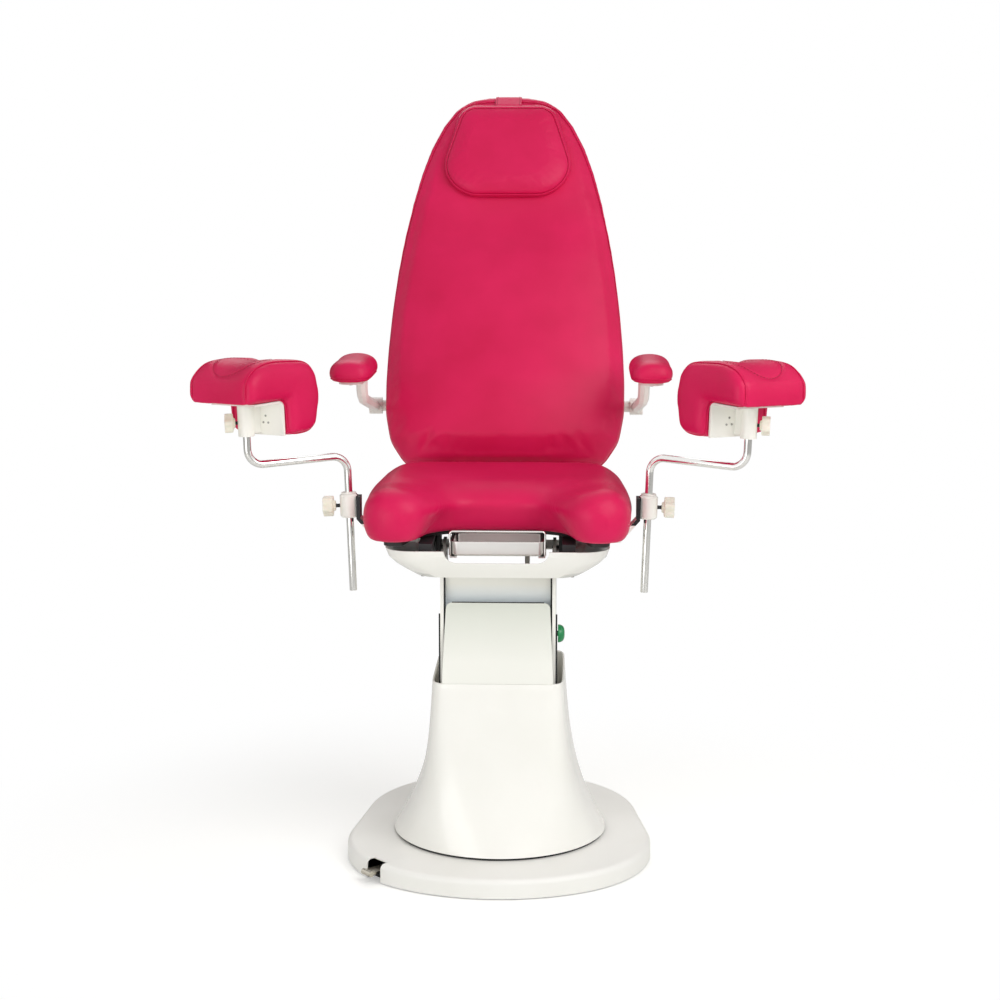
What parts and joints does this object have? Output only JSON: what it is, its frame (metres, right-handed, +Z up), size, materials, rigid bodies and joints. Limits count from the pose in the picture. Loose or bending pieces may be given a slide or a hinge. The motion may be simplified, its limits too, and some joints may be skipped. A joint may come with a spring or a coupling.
{
  "type": "examination chair",
  "caption": "Powered examination chair: swivelling pedestal, lifting and tilting seat, reclining back, fold-up armrests and knee supports on clamped rods.",
  "frame": {"origin": "on the floor, on the swivel axis of the pedestal", "axes": "+Z up; the chair faces -Y; +X is the right side as seen from the front"},
  "size_m": [1.2694, 1.0442, 1.6674],
  "materials": {
    "pink_vinyl": "soft-gloss vinyl",
    "white_plastic": "gloss",
    "grey_plastic": "satin",
    "white_enamel": "satin enamel",
    "blue_grey_enamel": "satin enamel",
    "dark_steel": "matt paint",
    "steel": "machined",
    "stainless": "pressed sheet",
    "chrome": "polished",
    "ivory_plastic": "moulded",
    "green_plastic": "gloss",
    "dark_plastic": "moulded",
    "black_board": "painted board"
  },
  "bodies": {
    "base": {"floor_plate": "dark_steel", "base_cover": "grey_plastic", "bearing_outer_ring": "steel", "pedal_bracket": "steel", "pedal_pin": "steel"},
    "pedal": {"lock_pedal": "chrome"},
    "turntable": {"bearing_inner_ring": "steel", "turntable_plate": "dark_steel", "pedestal_skirt": "white_plastic", "front_apron": "white_enamel", "guide_mast": "dark_steel", "lift_actuator": "dark_plastic"},
    "carriage": {"lift_carriage": "white_enamel", "carriage_front_panel": "blue_grey_enamel", "guide_sleeve": "dark_steel", "lift_rod": "steel", "tilt_pin_left": "steel", "tilt_pin_right": "steel", "button_bezel": "dark_plastic"},
    "button": {"green_button": "green_plastic"},
    "seat": {"seat_rail_left": "dark_steel", "seat_rail_right": "dark_steel", "front_cross_member": "dark_steel", "rear_cross_member": "dark_steel", "back_hinge_shaft": "steel", "under_pan": "white_plastic", "seat_cushion": "pink_vinyl", "seat_board": "black_board", "leg_clamp_left": "white_enamel", "leg_clamp_right": "white_enamel", "basin_runner_left": "chrome", "basin_runner_right": "chrome", "tilt_actuator": "dark_plastic", "back_actuator": "dark_plastic"},
    "basin": {"drip_basin": "stainless"},
    "tilt_drive": {"tilt_rod": "steel"},
    "back_drive": {"back_rod": "steel"},
    "backrest": {"back_frame": "white_enamel", "back_board": "black_board", "back_shell": "white_plastic", "backrest_cushion": "pink_vinyl"},
    "headrest": {"headrest_pad": "pink_vinyl", "headrest_strap": "pink_vinyl"},
    "armrest_left": {"arm_bracket_left": "white_enamel", "arm_pad_left": "pink_vinyl"},
    "leg_swing_left": {"clamp_bush_left": "white_enamel"},
    "leg_rod_left": {"leg_rod_left": "chrome"},
    "knee_support_left": {"pad_bracket_left": "white_enamel", "knee_pad_left": "pink_vinyl"},
    "clamp_knob_left": {"clamp_knob_left": "ivory_plastic"},
    "pad_knob_left": {"pad_knob_left": "ivory_plastic"},
    "armrest_right": {"arm_bracket_right": "white_enamel", "arm_pad_right": "pink_vinyl"},
    "leg_swing_right": {"clamp_bush_right": "white_enamel"},
    "leg_rod_right": {"leg_rod_right": "chrome"},
    "knee_support_right": {"pad_bracket_right": "white_enamel", "knee_pad_right": "pink_vinyl"},
    "clamp_knob_right": {"clamp_knob_right": "ivory_plastic"},
    "pad_knob_right": {"pad_knob_right": "ivory_plastic"}
  },
  "joints": [
    {"name": "pedal_press", "type": "hinge", "parent": "base", "child": "pedal", "pos_m": [-0.20844, -0.19437, 0.0218], "axis": [0.682, -0.7314, 0], "range_deg": [0, 5.5], "stiffness_Nm_per_rad": 25, "springref_deg": -3.44},
    {"name": "swivel", "type": "hinge", "parent": "base", "child": "turntable", "pos_m": [0, 0, 0], "axis": [0, 0, 1], "range_deg": [-90, 90]},
    {"name": "lift", "type": "slide", "parent": "turntable", "child": "carriage", "axis": [0, 0, 1], "range_m": [-0.05, 0.2]},
    {"name": "button_press", "type": "slide", "parent": "carriage", "child": "button", "axis": [-1, 0, 0], "range_m": [0, 0.004], "stiffness_N_per_m": 600, "springref_m": -0.002},
    {"name": "seat_tilt", "type": "hinge", "parent": "carriage", "child": "seat", "pos_m": [0, 0, 0.67], "axis": [-1, 0, 0], "range_deg": [0, 20]},
    {"name": "tilt_rod_slide", "type": "slide", "parent": "seat", "child": "tilt_drive", "axis": [0, -1, 0], "range_m": [0, 0.007]},
    {"name": "basin_pull", "type": "slide", "parent": "seat", "child": "basin", "axis": [0, -1, 0], "range_m": [0, 0.11]},
    {"name": "recline", "type": "hinge", "parent": "seat", "child": "backrest", "pos_m": [0, 0.25, 0.745], "axis": [-1, 0, 0], "range_deg": [0, 66]},
    {"name": "back_rod_slide", "type": "slide", "parent": "seat", "child": "back_drive", "axis": [0, -1, 0], "range_m": [0, 0.0897]},
    {"name": "headrest_lift", "type": "slide", "parent": "backrest", "child": "headrest", "axis": [0, 0.3746, 0.9272], "range_m": [0, 0.1]},
    {"name": "armrest_fold_left", "type": "hinge", "parent": "backrest", "child": "armrest_left", "pos_m": [-0.306, 0.39515, 0.93981], "axis": [-1, 0, 0], "range_deg": [0, 70]},
    {"name": "leg_swing_left", "type": "hinge", "parent": "seat", "child": "leg_swing_left", "pos_m": [-0.318, -0.1, 0.7855], "axis": [-0.0349, 0, 0.9994], "range_deg": [-15, 60]},
    {"name": "leg_height_left", "type": "slide", "parent": "leg_swing_left", "child": "leg_rod_left", "axis": [-0.0349, 0, 0.9994], "range_m": [-0.035, 0.12]},
    {"name": "clamp_knob_turn_left", "type": "hinge", "parent": "seat", "child": "clamp_knob_left", "pos_m": [-0.318, -0.1, 0.7855], "axis": [-0.9994, 0, -0.0349], "range_deg": [-120, 120]},
    {"name": "pad_turn_left", "type": "hinge", "parent": "leg_rod_left", "child": "knee_support_left", "pos_m": [-0.5151, -0.2117, 0.88618], "axis": [-0.0349, 0, 0.9994], "range_deg": [-25, 25]},
    {"name": "pad_knob_turn_left", "type": "hinge", "parent": "knee_support_left", "child": "pad_knob_left", "pos_m": [-0.51824, -0.2117, 0.97613], "axis": [-0.9939, -0.1045, -0.0347], "range_deg": [-120, 120]},
    {"name": "armrest_fold_right", "type": "hinge", "parent": "backrest", "child": "armrest_right", "pos_m": [0.306, 0.39515, 0.93981], "axis": [-1, 0, 0], "range_deg": [0, 70]},
    {"name": "leg_swing_right", "type": "hinge", "parent": "seat", "child": "leg_swing_right", "pos_m": [0.318, -0.1, 0.7855], "axis": [-0.0349, 0, -0.9994], "range_deg": [-15, 60]},
    {"name": "leg_height_right", "type": "slide", "parent": "leg_swing_right", "child": "leg_rod_right", "axis": [0.0349, 0, 0.9994], "range_m": [-0.035, 0.12]},
    {"name": "clamp_knob_turn_right", "type": "hinge", "parent": "seat", "child": "clamp_knob_right", "pos_m": [0.318, -0.1, 0.7855], "axis": [0.9994, 0, -0.0349], "range_deg": [-120, 120]},
    {"name": "pad_turn_right", "type": "hinge", "parent": "leg_rod_right", "child": "knee_support_right", "pos_m": [0.5151, -0.2117, 0.88618], "axis": [0.0349, 0, 0.9994], "range_deg": [-25, 25]},
    {"name": "pad_knob_turn_right", "type": "hinge", "parent": "knee_support_right", "child": "pad_knob_right", "pos_m": [0.51824, -0.2117, 0.97613], "axis": [0.9939, -0.1045, -0.0347], "range_deg": [-120, 120]}
  ],
  "couplings": [
    {"joint": "tilt_rod_slide", "follows": "seat_tilt", "m_per_rad": 0.0197},
    {"joint": "back_rod_slide", "follows": "recline", "m_per_rad": 0.07779}
  ]
}
